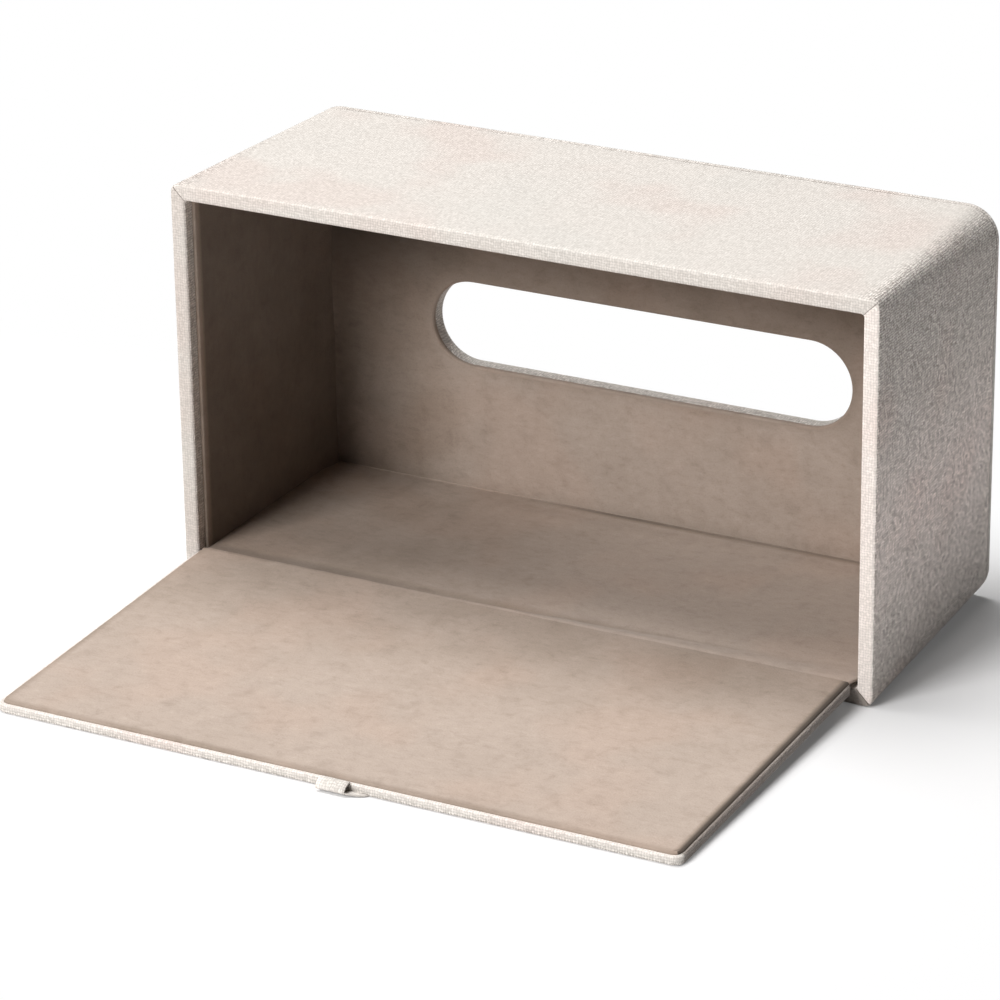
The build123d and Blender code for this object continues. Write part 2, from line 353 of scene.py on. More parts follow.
class Cloth:
    # one sheet of cloth, put together from patches: grids of points with their place on the flat cloth
    def __init__(self, name):
        self.name = name
        self.mesh = bmesh.new()
        self.flat = self.mesh.loops.layers.uv.new("weave")
        # a value on each point for light and shade painted into the cloth's colour: below zero darker, above
        # zero lighter
        self.worn = self.mesh.verts.layers.float.new("worn")
        self.coarse = self.mesh.verts.layers.float.new("coarse")

    def patch(self, points, flat, worn=0.0, flip=False, coarse=0.5):
        rows, columns = points.shape[:2]
        corners = [[self.mesh.verts.new(p) for p in row] for row in points]
        for layer, amount in ((self.worn, worn), (self.coarse, coarse)):
            for row, values in zip(corners, np.broadcast_to(amount, (rows, columns))):
                for corner, value in zip(row, values):
                    corner[layer] = value
        for r in range(rows - 1):
            for c in range(columns - 1):
                turn = [(r, c), (r, c + 1), (r + 1, c + 1), (r + 1, c)]
                if flip:
                    turn.reverse()
                face = self.mesh.faces.new([corners[i][j] for i, j in turn])
                face.smooth = True
                for loop, (i, j) in zip(face.loops, turn):
                    loop[self.flat].uv = flat[i, j]

    def sew(self, thickness, material):
        bmesh.ops.remove_doubles(self.mesh, verts=self.mesh.verts, dist=0.002 * mm)
        data = bpy.data.meshes.new(self.name)
        self.mesh.to_mesh(data)
        self.mesh.free()
        piece = bpy.data.objects.new(self.name, data)
        bpy.context.scene.collection.objects.link(piece)
        body = piece.modifiers.new("thickness", "SOLIDIFY")
        body.thickness = thickness
        body.offset = -1
        solid = bpy.data.meshes.new_from_object(piece.evaluated_get(bpy.context.evaluated_depsgraph_get()))
        piece.modifiers.clear()
        piece.data = solid
        solid.name = self.name
        solid.set_sharp_from_angle(angle=math.radians(55))
        solid.materials.clear()
        solid.materials.append(material)
        return piece


# The four sides of a ring round the box, as seen from the mouth: bottom, right, top, left.
sideAlong = np.array([(1, 0), (0, 1), (-1, 0), (0, -1)], float)
sideOut = np.array([(0, -1), (1, 0), (0, 1), (-1, 0)], float)
cornerSteps = 6              # along half of a corner's bend


def lengthAlong(line):
    return np.concatenate([[0], np.cumsum(np.linalg.norm(np.diff(line, axis=0), axis=1))])


def ringSide(side, half, radius, steps):
    # points of one side of a rounded rectangle, from the middle of one corner to the middle of the next
    along, out = sideAlong[side], sideOut[side]
    halfAlong = half[side % 2]
    halfOut = half[(side + 1) % 2]
    first = np.linspace(math.pi / 4, 0, cornerSteps + 1)[:-1, None]
    last = np.linspace(0, math.pi / 4, cornerSteps + 1)[1:, None]
    reach = halfAlong - radius
    start = out * (halfOut - radius) - along * reach + radius * (out * np.cos(first) - along * np.sin(first))
    straight = out * halfOut + along * np.linspace(-reach, reach, steps + 1)[:, None]
    end = out * (halfOut - radius) + along * reach + radius * (out * np.cos(last) + along * np.sin(last))
    return np.concatenate([start, straight, end])


def slotSide(side, half, shares):
    # the part of a stadium that faces one side of the box, at shares of its length
    radius = half[1]
    reach = half[0] - radius
    turns = 24
    if side % 2:
        middle = 0 if side == 1 else math.pi
        angles = middle + np.linspace(-math.pi / 4, math.pi / 4, 2 * turns + 1)
        centre = reach if side == 1 else -reach
        line = np.stack([centre + radius * np.cos(angles), radius * np.sin(angles)], 1)
    else:
        rise = -1 if side == 0 else 1
        arc = np.linspace(math.pi / 4, 0, turns + 1)
        left = np.stack([-reach - radius * np.sin(arc), rise * radius * np.cos(arc)], 1)
        right = np.stack([reach + radius * np.sin(arc[::-1]), rise * radius * np.cos(arc[::-1])], 1)
        line = np.concatenate([left, right])
        if side == 2:
            line = line[::-1]
    length = lengthAlong(line)
    at = np.asarray(shares) * length[-1]
    return np.stack([np.interp(at, length, line[:, i]) for i in (0, 1)], 1) - (0, slotCut["drop"])


def shareAlong(line):
    length = lengthAlong(line)
    return length / length[-1]


def downRows(points):
    # how far down a grid's columns each point lies, as the cloth runs
    steps = np.linalg.norm(np.diff(points, axis=0), axis=2)
    return np.concatenate([np.zeros((1, points.shape[1])), np.cumsum(steps, axis=0)])


def upright(line, y):
    # a ring's points, stood in the box at a depth
    return np.stack([line[:, 0], np.full(len(line), y), line[:, 1] + middleZ], 1)


boxCloth = {
    "mouthRadius": 3.0 * mm,
    "panelRadius": 11.0 * mm,
    "openingRadius": 1.2 * mm,
    "rimEdge": 1.0 * mm,
    "panelEdge": 1.2 * mm,
    "seamDepth": 0.32 * mm,
    "mitreDepth": 0.16 * mm,
    "seamGap": 0.06 * mm,
    # painted light and shade on the rim's front, by side: the bottom darker as in shade under the flap, the
    # right lighter
    "rimTone": (-0.6, 0.7, 0.08, -0.05),     # bottom, right, top, left
    "endTone": {"edges": -0.12, "middle": 1.05, "height": -12 * mm, "reach": 38 * mm},
    "rimStep": 0.6 * mm,
    "step": 3.0 * mm,
}


def cornerRadius(y):
    share = (y - mouthY) / (panelY - mouthY)
    return boxCloth["mouthRadius"] + (boxCloth["panelRadius"] - boxCloth["mouthRadius"]) * share


def sideStart(side):
    # where each side's middle lies on the flat wrap
    saved = (2 - math.pi / 2) * boxCloth["mouthRadius"]
    half = (halfLength, middleZ)
    return sum(half[k % 2] + half[(k + 1) % 2] - saved for k in range(side))


def sideSteps(side):
    return int(round(2 * (halfLength, middleZ)[side % 2] / boxCloth["step"]))


def bend(count, start=0.0, end=90.0):
    return [math.radians(a) for a in np.linspace(start, end, count + 1)]


def seamRows(start, way):
    # the cloth's cut edge dips into the seam: (depth, inset)
    dip = boxCloth["seamDepth"]
    return [(start, dip), (start + way * 0.1 * mm, dip * 0.45), (start + way * 0.3 * mm, dip * 0.1)]


def makeWrap():
    look = boxCloth
    edge = look["rimEdge"]
    rows = seamRows(seamY, -1)
    rows += [(y, 0.0) for y in spaced(seamY - 0.6 * mm, mouthY + edge, look["step"])]
    rows += [(mouthY + edge - edge * math.sin(a), edge - edge * math.cos(a)) for a in bend(6)[1:]]
    rows += [(mouthY, inset) for inset in spaced(edge, rimWidth - edge, look["rimStep"])[1:]]
    rows += [(mouthY + edge - edge * math.cos(a), rimWidth - edge + edge * math.sin(a)) for a in bend(6)[1:]]
    rows += [(y, rimWidth) for y in spaced(mouthY + edge, liningFrontY + 0.5 * mm, look["rimStep"])[1:]]
    travel = lengthAlong(rows)
    cloth = Cloth("linen_wrap")
    tone = look["endTone"]
    for side in range(4):
        points, flat, worn = [], [], []
        for (y, inset), along in zip(rows, travel):
            radius = max(cornerRadius(y) - inset, look["openingRadius"])
            line = ringSide(side, (halfLength - inset, middleZ - inset), radius, sideSteps(side))
            place = line @ sideAlong[side]
            if inset < 0.5 * edge:
                # over the round corners the cloth runs on without a fold
                tail = np.zeros(len(line))
                first, last = slice(0, cornerSteps), slice(len(line) - cornerSteps, len(line))
                gap = (4 - math.pi) / 4 * look["mouthRadius"]
                share = np.arange(1, cornerSteps + 1) / cornerSteps
                half = (halfLength, middleZ)[side % 2]
                free = half - radius
                tail[last] = free + (half - gap - free) * share - place[last]
                tail[first] = -(free + (half - gap - free) * share[::-1]) - place[first]
                place = place + tail
            points.append(upright(line, y))
            flat.append(np.stack([sideStart(side) + place, np.full(len(line), along)], 1))
            onRim = y < mouthY + 0.5 * edge and edge * 0.4 < inset < rimWidth - 0.05 * edge
            groove = np.zeros(len(line))
            if onRim:
                groove[[0, -1]] = 1
            seam = 1.0 if y > seamY - 0.2 * mm else 0.0
            points[-1][:, 1] += groove * look["mitreDepth"]
            light = np.full(len(line), look["rimTone"][side] if onRim else 0.0)
            if side == 1 and inset < 0.4 * edge:
                # painted light: this end is lighter half-way up
                light = tone["middle"] * np.exp(-((line[:, 1] - tone["height"]) / tone["reach"]) ** 2)
                light = light + tone["edges"]
            # painted shade in the mitre grooves and along the seam, with the rim's and the end's painted
            # light and shade
            worn.append(light - 1.2 * groove - seam)
        points = np.array(points)
        lift = unevenness(points, 7 * mm, 3.0) * 0.05 * mm + unevenness(points, 40 * mm, 5.0) * 0.10 * mm
        away = np.zeros_like(points)
        away[..., 0], away[..., 2] = sideOut[side]
        inner = np.array([inset > 0.9 * rimWidth for y, inset in rows])
        points += away * np.where(inner, 0, lift.T).T[..., None]
        # the weave shows on the ends, where the light grazes it, and hardly on the top and the rim
        atEnd = fade(abs(points[..., 0]), halfLength - 9 * mm, 8 * mm)
        coarse = np.where(inner[:, None], 0.6, 0.12 + 0.88 * atEnd)
        coarse = np.where(points[..., 1] < mouthY + 0.3 * mm, 0.06, coarse)
        cloth.patch(points, np.array(flat), np.array(worn), coarse=coarse)
    piece = cloth.sew(linen * 0.98, linenMaterial)
    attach(piece, "box")
    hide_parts("wrap_linen", "base_linen")


slotCut = {
    "half": (77.5 * mm, 15.0 * mm),
    "drop": 1.0 * mm,            # below the panel's middle
    "edge": 0.5 * mm,
    "ledge": 0.9 * mm,           # linen turned on to the inner face, under the lining
    "liningMargin": 0.5 * mm,
    "rowStep": 4.0 * mm,
}


def fanRows(inner, outer, step):
    # straight lines from a curve round the slot to the edge of the panel
    gap = max(np.linalg.norm(outer - inner, axis=1))
    shares = np.linspace(0, 1, max(3, int(gap / step)))
    return [inner + (outer - inner) * share for share in shares]


def makePanelCloth():
    look, cut = boxCloth, slotCut
    edge = look["panelEdge"]
    cloth = Cloth("linen_slot_panel")
    width, height = cut["half"]
    for side in range(4):
        steps = sideSteps(side)
        rows = []
        start = seamY + look["seamGap"]
        outside = seamRows(start, 1)
        outside += [(y, 0.0) for y in spaced(start + 0.6 * mm, panelY - edge, look["rimStep"])]
        outside += [(panelY - edge + edge * math.sin(a), edge - edge * math.cos(a)) for a in bend(6)[1:]]
        for y, inset in outside:
            radius = cornerRadius(y) - inset
            rows.append(upright(ringSide(side, (halfLength - inset, middleZ - inset), radius, steps), y))
        wallRows = len(rows)
        outer = rows[-1][:, [0, 2]] - (0, middleZ)
        shares = shareAlong(outer)
        fold = cut["edge"]
        near = slotSide(side, (width + fold, height + fold), shares)
        rows += [upright(line, panelY) for line in fanRows(near, outer, cut["rowStep"])[::-1][1:]]
        panelRows = len(rows)
        for a in bend(5)[1:]:
            out = fold - fold * math.sin(a)
            rows.append(upright(slotSide(side, (width + out, height + out), shares),
                                panelY - fold + fold * math.cos(a)))
        ledgeY = panelInnerY - 0.05 * mm
        for y in spaced(panelY - fold, ledgeY + fold, 0.7 * mm)[1:]:
            rows.append(upright(slotSide(side, (width, height), shares), y))
        for a in bend(5)[1:]:
            out = fold - fold * math.cos(a)
            rows.append(upright(slotSide(side, (width + out, height + out), shares),
                                ledgeY + fold - fold * math.sin(a)))
        out = cut["ledge"]
        rows.append(upright(slotSide(side, (width + out, height + out), shares), ledgeY))
        points = np.array(rows)
        lift = unevenness(points, 8 * mm, 9.0) * 0.05 * mm
        points[wallRows + 1:panelRows - 1, :, 1] += lift[wallRows + 1:panelRows - 1]
        travel = downRows(points)
        lengthwise = points[..., [0, 2]] @ sideAlong[side]
        flat = np.stack([sideStart(side) + lengthwise, travel], 2)
        panel = slice(wallRows - 1, panelRows)
        face = flat.copy()
        face[panel] = points[panel][..., [0, 2]]
        # painted shade along the seam, where the panel's cloth dips into it
        worn = np.zeros(points.shape[:2])
        worn[0] = -1.0
        worn[1] = -0.6
        cloth.patch(points[:wallRows], flat[:wallRows], worn[:wallRows], flip=True)
        cloth.patch(points[panel], face[panel], flip=True)
        cloth.patch(points[panelRows - 1:], flat[panelRows - 1:], flip=True)
    piece = cloth.sew(linen * 0.98, linenMaterial)
    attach(piece, "box")
    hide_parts("slot_panel_linen")


wallLining = {
    "nose": 0.72 * mm,           # round front edge, where the suede goes over its card
    "step": 3.0 * mm,
    "cornerSwell": 2.3 * mm,     # the left wall's suede stands off its card in the far corner
    "cornerSwellLength": 13 * mm,
    "softness": 0.16 * mm,
    "tuck": 0.25 * mm,
    # painted light and shade: the left lining darker as in shade, the round front edge lighter as a painted
    # highlight
    "tone": {"left": -0.55, "right": 0.1},
    "noseTone": 0.5,
    "gapTone": -0.8,             # behind the rim, in shadow
}


def makeWallLining(name, node, face, inward, across, swell=0.0):
    # face: a point on the board under the lining; inward: its visible side; across: along the rim
    look = wallLining
    face, inward = Vector(face), np.array(inward, float)
    nose = look["nose"]
    thick = liningThick
    start, end = across
    rows = [(liningFrontY + nose - nose * math.sin(a), (1 - math.cos(a)) * thick / 2)
            for a in bend(10, 0, 180)]
    rows += [(y, thick) for y in spaced(liningFrontY + nose, liningBackY + 0.3 * mm, look["step"])[1:]]
    travel = lengthAlong(rows)
    places = spaced(start, end, look["step"])
    depths = np.array([y for y, rise in rows])[:, None]
    rises = np.array([rise for y, rise in rows])[:, None]
    points = np.zeros((len(rows), len(places), 3))
    upWall = abs(inward[0]) > 0.5
    axis = 2 if upWall else 0
    points[..., 1] = depths
    points[..., axis] = places
    soft = unevenness(points, 24 * mm, 11 + start) * look["softness"]
    soft += unevenness(points, 7 * mm, 4 + end) * look["softness"] * 0.25
    onFace = smooth((depths - liningFrontY - 2 * nose) / (4 * mm))
    shift = soft * onFace
    if swell:
        near = smooth((depths - liningBackY + look["cornerSwellLength"]) / look["cornerSwellLength"])
        uneven = 0.85 + 0.3 * unevenness(points * (0, 0, 1), 30 * mm, 2.0)
        shift += swell * near ** 1.6 * uneven
    rise = rises + shift
    points[..., 0] += 0 if not upWall else face.x
    points[..., 2] += 0 if upWall else face.z
    points += inward * rise[..., None]
    flat = np.stack([np.broadcast_to(places, rise.shape), np.broadcast_to(travel[:, None], rise.shape)], 2)
    # painted light and shade: the lining's tone, its lit front edge and the shaded strip behind the rim
    worn = np.full(rise.shape, look["tone"].get(node, 0.0))
    worn[4:11] = look["noseTone"]
    worn[0:3] = look["gapTone"]
    cloth = Cloth(name)
    cloth.patch(points, flat, worn, flip=bool(np.sign(inward.sum()) < 0) != upWall)
    piece = cloth.sew(suede * 0.95, suedeMaterial)
    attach(piece, "box")
    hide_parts(node + "_suede")


backLining = {
    "edge": 0.6 * mm,
    "lipHeight": 2.0 * mm,       # the floor's suede comes this far up behind it
    "lowEdge": 0.7 * mm,
    "corner": 0.8 * mm,
    "softness": 0.2 * mm,
    # painted light and shade: lighter overall and in the slot, darker towards the left wall and up under the
    # top, where their shadows fall
    "tone": {"plain": 0.62, "left": -0.92, "above": -0.70, "slot": 0.3},
}


def makeBackLining():
    look, cut = backLining, slotCut
    margin, edge = cut["liningMargin"], look["edge"]
    width, height = cut["half"]
    cloth = Cloth("suede_back")
    tuck, tone = wallLining["tuck"], look["tone"]
    half = (sideX + tuck, middleZ - floorZ + tuck)
    for side in range(4):
        steps = sideSteps(side)
        outer = ringSide(side, half, look["corner"], steps)
        shares = shareAlong(outer)
        rows = []
        for y in spaced(panelInnerY - 0.1 * mm, liningBackY + edge, 0.4 * mm):
            rows.append(upright(slotSide(side, (width + margin, height + margin), shares), y))
        for a in bend(5)[1:]:
            out = margin + edge - edge * math.cos(a)
            rows.append(upright(slotSide(side, (width + out, height + out), shares),
                                liningBackY + edge - edge * math.sin(a)))
        wallRows = len(rows)
        near = slotSide(side, (width + margin + edge, height + margin + edge), shares)
        rows += [upright(line, liningBackY) for line in fanRows(near, outer, cut["rowStep"])[1:]]
        points = np.array(rows)
        soft = unevenness(points, 26 * mm, 21) * look["softness"]
        soft += unevenness(points, 9 * mm, 8) * 0.05 * mm
        points[wallRows:, :, 1] += soft[wallRows:]
        # the lower edge turns back behind the fold that stands on the floor
        lip = look["lipHeight"] * (1 + 0.25 * unevenness(points * (1, 0, 0), 30 * mm, 6.0))
        lip = lip * smooth((points[..., 0] + sideX) / (120 * mm))
        above = (points[..., 2] - floorZ - lip) / look["lowEdge"]
        drop = smooth(1 - above) * (points[..., 2] < middleZ)
        points[..., 1] += drop * look["lowEdge"] * (np.arange(len(rows)) >= wallRows)[:, None]
        travel = downRows(points)
        flat = np.stack([points[..., [0, 2]] @ sideAlong[side], travel], 2)
        flat[wallRows - 1:] = points[wallRows - 1:][..., [0, 2]]
        # painted shade towards the left and up high, painted light elsewhere
        toLeft = fade(-points[..., 0], 40 * mm, 70 * mm)
        high = fade(points[..., 2], 60 * mm, 50 * mm)
        worn = tone["plain"] + tone["left"] * toLeft + tone["above"] * high
        worn[:wallRows] = tone["slot"]
        cloth.patch(points, flat, worn, flip=False)
    piece = cloth.sew(suede * 0.95, suedeMaterial)
    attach(piece, "box")
    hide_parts("back_suede")
    2 * half[1]
    2 * half[0]


# the flap's own directions: along it from the hinge line, and up out of its lining
def onFlap(x, along, up):
    sine, cosine = math.sin(openAngle), math.cos(openAngle)
    y = hingeY - along * sine + up * cosine
    z = hingeZ + along * cosine + up * sine
    x, y, z = np.broadcast_arrays(x, y, z)
    return np.stack([x, y, z], -1)


def alongFlap(y, up):
    # the distance along the flap at a depth in the box's frame
    return (hingeY - y + up * math.cos(openAngle)) / math.sin(openAngle)


flapLow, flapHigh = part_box("flap_linen")
coverLow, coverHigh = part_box("flap_suede")
flapSize = {
    "half": flapHigh.x,
    "coverHalf": coverHigh.x,
    "corner": 3.2 * mm,
    "edge": 0.45 * mm,
    "step": 3.0 * mm,
    "turnIn": 1.7 * mm,
    # painted light and shade: the turned-in lip lighter, the right side darker as in shade
    "lipTone": 0.35,
    "rightTone": -0.8,           # its right side is darker
}
boardThick = 2.0 * mm
flapThick = linen + boardThick + (liningThick - suede) * 2 / 3 + suede
coverUp = liningFrontY - 0.3 * mm - hingeY         # the lining's height over the hinge line
outerUp = coverUp - flapThick
lipUp = outerUp + boardThick + 2 * linen          # linen turned on to the inner side
farEnd = alongFlap(flapLow.y, outerUp)
nearEnd = alongFlap(flapHigh.y, lipUp)
coverFar = alongFlap(coverLow.y, coverUp)


def edgeStations(profile, flatStart, flatEnd, step):
    # places from one edge's fold to the other's: (distance past the flat part, place on the flat part)
    folds = [m for m, out, rise in profile]
    return ([(-m, flatStart) for m in folds[:0:-1]] + [(0.0, p) for p in spaced(flatStart, flatEnd, step)]
            + [(m, flatEnd) for m in folds[1:]])


def foldedPlate(profile, halfX, alongStart, alongEnd, step):
    # a plate of cloth folded over all four edges, its corners drawn round
    across = edgeStations(profile, -halfX, halfX, step)
    down = edgeStations(profile, alongStart, alongEnd, step)
    folds = np.array([m for m, out, rise in profile])
    outs = np.array([out for m, out, rise in profile])
    rises = np.array([rise for m, out, rise in profile])
    dx = np.array([m for m, place in across])[None, :]
    dy = np.array([m for m, place in down])[:, None]
    x0 = np.array([place for m, place in across])[None, :]
    y0 = np.array([place for m, place in down])[:, None]
    length = np.maximum(abs(dx), abs(dy))
    plain = np.maximum(np.hypot(dx, dy), 1e-12)
    out = np.interp(length, folds, outs)
    rise = np.interp(length, folds, rises)
    x = x0 + out * dx / plain
    along = y0 + out * dy / plain
    flat = np.stack(np.broadcast_arrays(x0 + dx, y0 + dy), -1)
    return x, along, rise, flat


def makeFlapCloth():
    size = flapSize
    corner, edge = size["corner"], size["edge"]
    wall = lipUp - outerUp
    profile = [(0.0, 0.0, 0.0), (corner - edge, corner - edge, 0.0)]
    travel = corner - edge
    for a in bend(5)[1:]:
        profile.append((travel + edge * a, corner - edge + edge * math.sin(a), edge - edge * math.cos(a)))
    travel += edge * math.pi / 2 + wall - 2 * edge
    profile.append((travel - (wall - 2 * edge) / 2, corner, wall / 2))
    profile.append((travel, corner, wall - edge))
    for a in bend(5)[1:]:
        profile.append((travel + edge * a, corner - edge + edge * math.cos(a),
                        wall - edge + edge * math.sin(a)))
    travel += edge * math.pi / 2
    profile.append((travel + size["turnIn"] - edge, corner - size["turnIn"], wall))
    halfX = size["half"] - corner
    x, along, rise, flat = foldedPlate(profile, halfX, nearEnd + corner, farEnd - corner, size["step"])
    points = onFlap(x, along, outerUp + rise)
    ripple = unevenness(points, 9 * mm, 14) * 0.06 * mm
    inSide = (rise > edge) & (rise < wall * 0.98)
    points[..., 1] += np.where(inSide, ripple, 0)
    # painted light on the lip and painted shade on the right side
    worn = np.where(rise > wall - 2 * edge, size["lipTone"], 0.0)
    toRight = fade(x, size["half"] - 2.6 * mm, 0.8 * mm) * fade(-along, 1.5 * mm - farEnd, 2 * mm)
    worn = worn * (1 - toRight) + size["rightTone"] * toRight
    cloth = Cloth("linen_flap")
    cloth.patch(points, flat, worn, flip=False, coarse=np.where(rise < edge, 0.6, 0.15 + 0.6 * toRight))
    piece = cloth.sew(linen * 0.98, linenMaterial)
    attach(piece, "flap")
    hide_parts("flap_linen")
    turn = 2 * (wall + size["turnIn"])
    2 * size["half"] + turn
    farEnd - nearEnd + turn


baseCloth = {
    "corner": 3.0 * mm,
    "edge": 0.85 * mm,
    "softness": 0.17 * mm,
    "lipRadius": 0.9 * mm,
    "step": 2.6 * mm,
    "steep": 2.6 * mm,           # how fast the suede climbs on to the flap, at the left
    "gentle": 13.0 * mm,         # and at the right
    "swell": 0.35 * mm,          # the fold stands this far over the flap's own lining
    "secondFold": 0.22 * mm,     # depth of the fold on the floor
    "hingeStep": 0.45 * mm,
    "columns": 93,
    # painted light and shade, by place on the suede
    "tone": {"flap": 0.15, "flapFront": 0.62, "floor": -0.02, "floorRight": 0.95, "foot": -0.40,
             "second": -0.10, "edge": -0.25, "rightEdge": -0.9, "backFoot": -1.25},
}


def hingeClimb(x, y):
    # how far the suede has come up from the floor's lining to the flap's, from 0 to 1
    toRight = fade(x, -60 * mm, 190 * mm)
    length = baseCloth["steep"] + (baseCloth["gentle"] - baseCloth["steep"]) * toRight
    end = coverHigh.y + 1.2 * mm + 0.5 * mm * unevenness(np.stack([x, 0 * x, 0 * x], -1), 12 * mm, 1.0)
    return smooth((end + length - y) / length)


def makeBaseSuede():
    # one length of suede: up behind the back lining, over the floor, over the hinge and on over the flap
    look, size = baseCloth, flapSize
    corner, edge = look["corner"], look["edge"]
    side = coverUp - lipUp
    foldProfile = [(0.0, 0.0, 0.0), (corner - edge, corner - edge, 0.0)]
    foldProfile += [(corner - edge + edge * a, corner - edge + edge * math.sin(a),
                     -(edge - edge * math.cos(a))) for a in bend(7)[1:]]
    foldProfile.append((foldProfile[-1][0] + max(side - edge, 0.1 * mm), corner,
                        -max(side, edge + 0.1 * mm)))
    folds, outs, rises = [np.array(values) for values in zip(*foldProfile)]
    # rows: depth, height and distance past the flap's flat part
    lip, turn = backLining["lipHeight"], look["lipRadius"]
    backY = liningBackY + 0.35 * mm
    line = [(backY, floorZ + z, 0.0) for z in spaced(lip * 1.6, turn, 0.5 * mm)]
    line += [(backY - turn + turn * math.cos(a), floorZ + turn - turn * math.sin(a), 0.0)
             for a in bend(5)[1:]]
    line += [(y, floorZ, 0.0) for y in spaced(backY - turn, liningFrontY + 12 * mm, look["step"])[1:]]
    flapStartY = coverHigh.y
    hingeEndY = flapStartY - 1 * mm
    line += [(y, floorZ, 0.0) for y in spaced(liningFrontY + 12 * mm, hingeEndY, look["hingeStep"])[1:]]
    hingeEnd = len(line)
    flapPlaces = spaced(alongFlap(hingeEndY, coverUp), coverFar - corner, look["step"])[1:]
    line += [(*onFlap(0.0, along, coverUp)[1:], 0.0) for along in flapPlaces]
    line += [(line[-1][0], line[-1][1], m) for m in folds[1:]]
    depths, heights, ends = [np.array(values)[:, None] for values in zip(*line)]
    topZ = onFlap(0.0, alongFlap(hingeEndY, coverUp), coverUp)[2]
    steps = abs(np.diff(depths[:, 0])) + np.diff(ends[:, 0])
    travel = np.concatenate([[0], np.cumsum(steps)])[:, None] + lip * 1.6
    # columns
    columns = [(-m, -1.0) for m in folds[:0:-1]] + [(0.0, s) for s in np.linspace(-1, 1, look["columns"])]
    columns += [(m, 1.0) for m in folds[1:]]
    over, share = [np.array(values)[None, :] for values in zip(*columns)]
    narrow = smooth((depths - flapStartY) / (liningFrontY - flapStartY))
    half = size["coverHalf"] + (sideX + 0.2 * mm - size["coverHalf"]) * narrow - corner
    length = np.maximum(abs(over), ends)
    plain = np.maximum(np.hypot(over, ends), 1e-12)
    out = np.interp(length, folds, outs)
    rise = np.interp(length, folds, rises)
    x = half * share + out * over / plain
    alongOut = out * ends / plain
    sine, cosine = math.sin(openAngle), math.cos(openAngle)
    y = depths - alongOut * sine + rise * cosine * (1 - narrow)
    z = heights + alongOut * cosine + rise
    points = np.stack(np.broadcast_arrays(x, y, z), -1)
    # over the hinge the cloth climbs to the flap: steeply on the left, in soft creases on the right
    isHinge = (np.arange(len(line)) < hingeEnd)[:, None] & (depths < liningFrontY + 14 * mm)
    climb = hingeClimb(points[..., 0], points[..., 1])
    points[..., 2] += np.where(isHinge, climb, 0) * (topZ - floorZ)
    fold = np.exp(-((points[..., 1] - coverHigh.y - 0.6 * mm) / (2.6 * mm)) ** 2)
    left = 0.35 + 0.65 * fade(-points[..., 0], -40 * mm, 130 * mm)
    ripple = unevenness(points * (1, 0.4, 0), 9 * mm, 71)
    points[..., 2] += fold * look["swell"] * left * (1 + 0.5 * ripple) * (length == 0)
    onFloor = fade(-points[..., 1], 6 * mm - liningBackY, 10 * mm)
    inFlap = fade(points[..., 1], coverLow.y + 3 * mm, 8 * mm)
    soft = unevenness(points, 30 * mm, 31) * look["softness"]
    soft += unevenness(points, 10 * mm, 33) * 0.05 * mm
    points[..., 2] += soft * onFloor * inFlap * (length == 0)
    # a second soft fold on the floor, in front of the back wall
    foldY = liningBackY - 5.5 * mm + 0.8 * mm * unevenness(points * (1, 0, 0), 28 * mm, 41)
    across = fade(points[..., 0], -62 * mm, 20 * mm) * fade(-points[..., 0], -34 * mm, 16 * mm)
    second = np.exp(-((points[..., 1] - foldY) / (1.0 * mm)) ** 2) * across
    points[..., 2] -= look["secondFold"] * second * (length == 0)
    flat = np.stack(np.broadcast_arrays(half * share + over, travel), -1)
    # painted light: lighter towards the front of the flap, out of the box's shadow, and on the right of the
    # floor, away from the left wall's shadow
    tone = look["tone"]
    forward = fade(-points[..., 1], 4 * mm - flapStartY, 75 * mm)
    rightward = fade(points[..., 0], -80 * mm, 110 * mm)
    worn = np.where(points[..., 1] < flapStartY, tone["flap"] + tone["flapFront"] * forward,
                    tone["floor"] + tone["floorRight"] * rightward)
    # painted shade: darker at the foot of the climb and in the second fold
    foot = smooth((0.28 - climb) / 0.28) * fade(-points[..., 1], -liningFrontY - 6 * mm, 5 * mm)
    foot = foot * (depths > flapStartY)
    worn = worn * (1 - 0.6 * foot) + tone["foot"] * foot * left
    worn = worn + tone["second"] * second
    # painted shade: darker where it goes over the flap's edge, most of all on the right
    onEdge = (length > 0) & (depths < flapStartY)
    worn = np.where(onEdge, tone["edge"] * smooth(length / corner - 0.6), worn)
    onRight = onEdge & (over > ends) & (length > corner - 1.3 * edge)
    worn = np.where(onRight, tone["rightEdge"], worn)
    # painted shade: a dark line where it turns up at the back wall
    atBack = (points[..., 1] > backY - 1.3 * turn) & (points[..., 2] < floorZ + 0.8 * turn)
    worn = np.where(atBack, worn + tone["backFoot"] * fade(points[..., 0], -60 * mm, 60 * mm), worn)
    cloth = Cloth("suede_base")
    cloth.patch(points, flat, worn, flip=True)
    piece = cloth.sew(suede * 0.9, suedeMaterial)
    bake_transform(piece)
    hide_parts("floor_suede", "hinge_cloth", "flap_suede")


loopTape = {
    "thick": 0.45 * mm,
    "bulge": 3.6 * mm,
    "skew": 6.5 * mm,            # the lower layer runs on to the right
    "droop": 0.7 * mm,
    # painted light and shade: the tape's left edge lighter, its right end darker
    "paleTone": 0.45,            # its left edge
    "darkTone": -0.35,           # its right end
}


